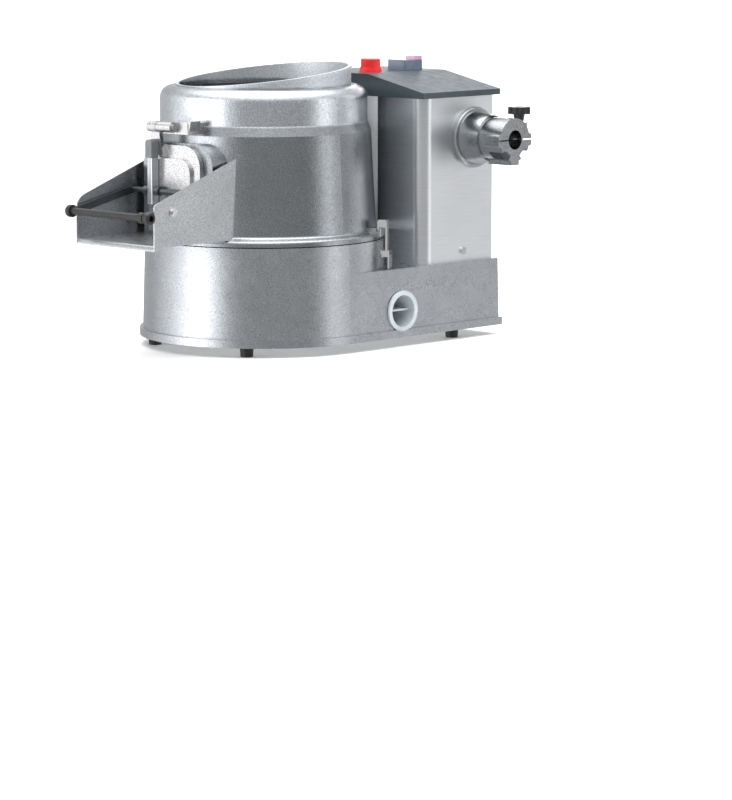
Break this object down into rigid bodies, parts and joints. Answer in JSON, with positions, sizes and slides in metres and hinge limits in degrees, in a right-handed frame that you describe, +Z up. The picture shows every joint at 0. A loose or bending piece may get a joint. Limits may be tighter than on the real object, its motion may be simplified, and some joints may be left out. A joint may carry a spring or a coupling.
{
  "type": "combi potato peeler",
  "caption": "Bench-top rotary potato peeler with cast drum, abrasive turntable, top-hung discharge door, chute, drum clamps and a motor column with an accessory drive hub.",
  "frame": {"origin": "centre of the footprint on the floor, under the rubber feet", "axes": "+Z up, discharge door towards -Y, accessory hub towards +X"},
  "size_m": [0.457, 0.662, 0.434],
  "materials": {
    "cast_aluminium": "bead-blasted satin",
    "stainless": "brushed",
    "steel": "turned",
    "zinc_plated": "bright",
    "motor_iron": "painted",
    "cover_plastic": "fine grain",
    "black_plastic": "satin",
    "red_plastic": "gloss",
    "blue_plastic": "translucent",
    "pink_lens": "translucent",
    "grey_plastic": "satin",
    "rubber": "matte",
    "abrasive": "rough grit",
    "brass": "turned"
  },
  "bodies": {
    "machine": {"base_casting": "cast_aluminium", "drum_seat": "cast_aluminium", "base_plate": "stainless", "base_screws": "zinc_plated", "rubber_feet": "rubber", "wet_pan": "cast_aluminium", "drain_pipe": "grey_plastic", "bearing_housing": "cast_aluminium", "spindle_bearings": "steel", "shaft_seal": "rubber", "drum_gasket": "rubber", "drum_casting": "cast_aluminium", "abrasive_lining": "abrasive", "water_inlet": "brass", "hinge_bracket": "cast_aluminium", "hinge_pin": "zinc_plated", "chute_tray": "cast_aluminium", "cheek_screws": "zinc_plated", "latch_bases": "zinc_plated", "latch_keepers": "zinc_plated", "column_housing": "stainless", "column_rear_panel": "stainless", "column_screws": "zinc_plated", "column_cover": "cover_plastic", "cable_gland": "black_plastic", "motor_stator": "motor_iron", "motor_plate": "stainless", "gearbox_housing": "cast_aluminium", "gearbox_lid": "cast_aluminium", "control_box": "grey_plastic", "switch_bodies": "black_plastic", "stop_bezel": "red_plastic", "start_block": "blue_plastic", "accessory_hub": "cast_aluminium", "hub_screws": "zinc_plated", "takeoff_bearings": "steel", "drive_belt": "rubber"},
    "turntable": {"abrasive_disc": "abrasive", "disc_nut": "steel", "turntable_shaft": "steel", "turntable_pulley": "steel"},
    "rotor": {"motor_rotor": "steel", "motor_pulley": "steel"},
    "takeoff": {"takeoff_shaft": "steel", "worm_wheel": "brass"},
    "door": {"door_panel": "cast_aluminium", "door_seal": "rubber", "door_strap": "stainless", "door_bar": "stainless", "door_cap": "grey_plastic", "door_handle": "zinc_plated", "door_grip": "black_plastic"},
    "clamp_screw": {"clamp_stud": "zinc_plated", "clamp_knob": "black_plastic"},
    "latch_lever_right": {"latch_lever_right": "zinc_plated"},
    "latch_hook_right": {"latch_hook_right": "zinc_plated"},
    "latch_lever_left": {"latch_lever_left": "zinc_plated"},
    "latch_hook_left": {"latch_hook_left": "zinc_plated"},
    "stop_button": {"stop_button": "red_plastic"},
    "start_button": {"start_button": "pink_lens"}
  },
  "joints": [
    {"name": "turntable_spin", "type": "hinge", "parent": "machine", "child": "turntable", "pos_m": [-0.0355, -0.0035, 0.1], "axis": [0, 0, 1], "continuous": true},
    {"name": "motor_spin", "type": "hinge", "parent": "machine", "child": "rotor", "pos_m": [-0.0355, 0.2465, 0.2], "axis": [0, 0, 1], "continuous": true},
    {"name": "takeoff_spin", "type": "hinge", "parent": "machine", "child": "takeoff", "pos_m": [0.0645, 0.2805, 0.312], "axis": [1, 0, 0], "continuous": true},
    {"name": "door_open", "type": "hinge", "parent": "machine", "child": "door", "pos_m": [-0.0355, -0.1995, 0.343], "axis": [-1, 0, 0], "range_deg": [0, 75]},
    {"name": "clamp_turn", "type": "hinge", "parent": "machine", "child": "clamp_screw", "pos_m": [0.2095, 0.3105, 0.355], "axis": [0, 0, 1], "range_deg": [0, 1440]},
    {"name": "latch_right_open", "type": "hinge", "parent": "machine", "child": "latch_lever_right", "pos_m": [0.13068, 0.08861, 0.146], "axis": [0.4848, -0.8746, 0], "range_deg": [0, 70]},
    {"name": "hook_right_lift", "type": "hinge", "parent": "latch_lever_right", "child": "latch_hook_right", "pos_m": [0.13636, 0.09176, 0.1445], "axis": [0.4848, -0.8746, 0], "range_deg": [-70, 0]},
    {"name": "latch_left_open", "type": "hinge", "parent": "machine", "child": "latch_lever_left", "pos_m": [-0.20168, 0.08861, 0.146], "axis": [0.4848, 0.8746, 0], "range_deg": [0, 70]},
    {"name": "hook_left_lift", "type": "hinge", "parent": "latch_lever_left", "child": "latch_hook_left", "pos_m": [-0.20736, 0.09176, 0.1445], "axis": [0.4848, 0.8746, 0], "range_deg": [-70, 0]},
    {"name": "stop_press", "type": "slide", "parent": "machine", "child": "stop_button", "axis": [0, 0, -1], "range_m": [0, 0.004], "stiffness_N_per_m": 800, "springref_m": -0.002},
    {"name": "start_press", "type": "slide", "parent": "machine", "child": "start_button", "axis": [0, 0, -1], "range_m": [0, 0.003], "stiffness_N_per_m": 800, "springref_m": -0.002}
  ],
  "couplings": [
    {"joint": "motor_spin", "follows": "turntable_spin", "ratio": 3.1818},
    {"joint": "takeoff_spin", "follows": "turntable_spin", "ratio": 0.17677},
    {"joint": "hook_right_lift", "follows": "latch_right_open", "ratio": -1},
    {"joint": "hook_left_lift", "follows": "latch_left_open", "ratio": -1}
  ]
}
